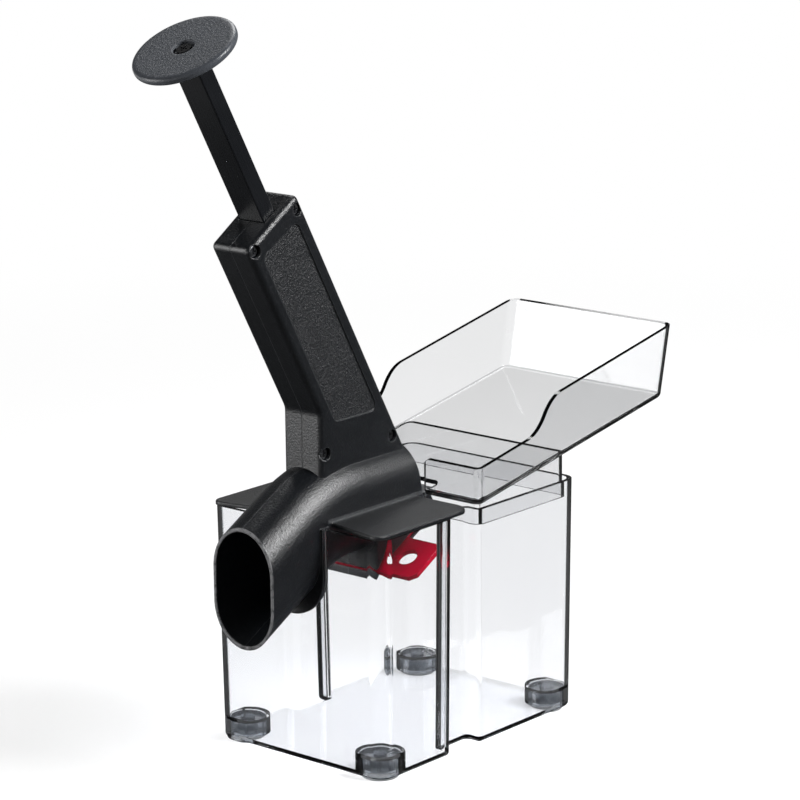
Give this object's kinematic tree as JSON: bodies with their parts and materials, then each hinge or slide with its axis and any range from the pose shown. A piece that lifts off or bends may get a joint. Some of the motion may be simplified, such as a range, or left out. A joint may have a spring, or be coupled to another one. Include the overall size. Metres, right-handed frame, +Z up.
{
  "type": "cherry pitter",
  "caption": "Tabletop cherry pitter: a hopper tray feeds a sprung push plunger whose pin drives each stone into a clear container while the fruit rolls out of a chute.",
  "frame": {"origin": "middle of the tool's width and length, on the surface it stands on", "axes": "+Z up; the chute opens towards -Y and the hopper tray is at +Y; +X is the side of the seat plate's finger tab"},
  "size_m": [0.098, 0.2874, 0.3275],
  "materials": {
    "clear_container": "clear moulded plastic, polished",
    "smoke_tray": "clear smoke-tinted plastic, polished",
    "housing_plastic": "anthracite plastic with a fine satin grain",
    "red_plate": "deep red plastic, glossy",
    "seal_rubber": "black soft rubber",
    "plunger_plastic": "anthracite plastic, satin",
    "disc_plastic": "dark grey plastic, grained",
    "screw_steel": "zinc-plated steel",
    "pin_steel": "ground stainless steel",
    "spring_steel": "drawn stainless spring wire",
    "inner_plastic": "natural acetal",
    "foot_rubber": "dark translucent soft rubber"
  },
  "bodies": {
    "container": {"stone_container": "clear_container", "front_left_foot": "foot_rubber", "front_right_foot": "foot_rubber", "rear_left_foot": "foot_rubber", "rear_right_foot": "foot_rubber"},
    "head": {"right_housing_shell": "housing_plastic", "left_housing_shell": "housing_plastic", "housing_screws": "screw_steel", "spring_seat": "inner_plastic", "pin_guide_bush": "inner_plastic", "return_spring": "spring_steel", "stripper_plate": "inner_plastic", "slider_stop_ring": "seal_rubber", "cherry_seat_plate": "red_plate", "pit_seal_ring": "seal_rubber"},
    "plunger": {"plunger_shaft": "plunger_plastic", "palm_disc": "disc_plastic", "palm_disc_screw": "screw_steel", "plunger_slider": "plunger_plastic", "pitting_pin": "pin_steel", "pin_clamp_nut": "screw_steel"},
    "hopper": {"hopper_tray": "smoke_tray"}
  },
  "joints": [
    {"name": "head_lift_off", "type": "slide", "parent": "container", "child": "head", "axis": [0, 0, 1], "range_m": [0, 0.06]},
    {"name": "plunger_press", "type": "slide", "parent": "head", "child": "plunger", "axis": [0, 0.4833, -0.8755], "range_m": [0, 0.058], "stiffness_N_per_m": 200, "springref_m": -0.04, "deforming": ["return_spring"]},
    {"name": "hopper_lift_off", "type": "slide", "parent": "container", "child": "hopper", "axis": [0, 0, 1], "range_m": [0, 0.04]}
  ]
}
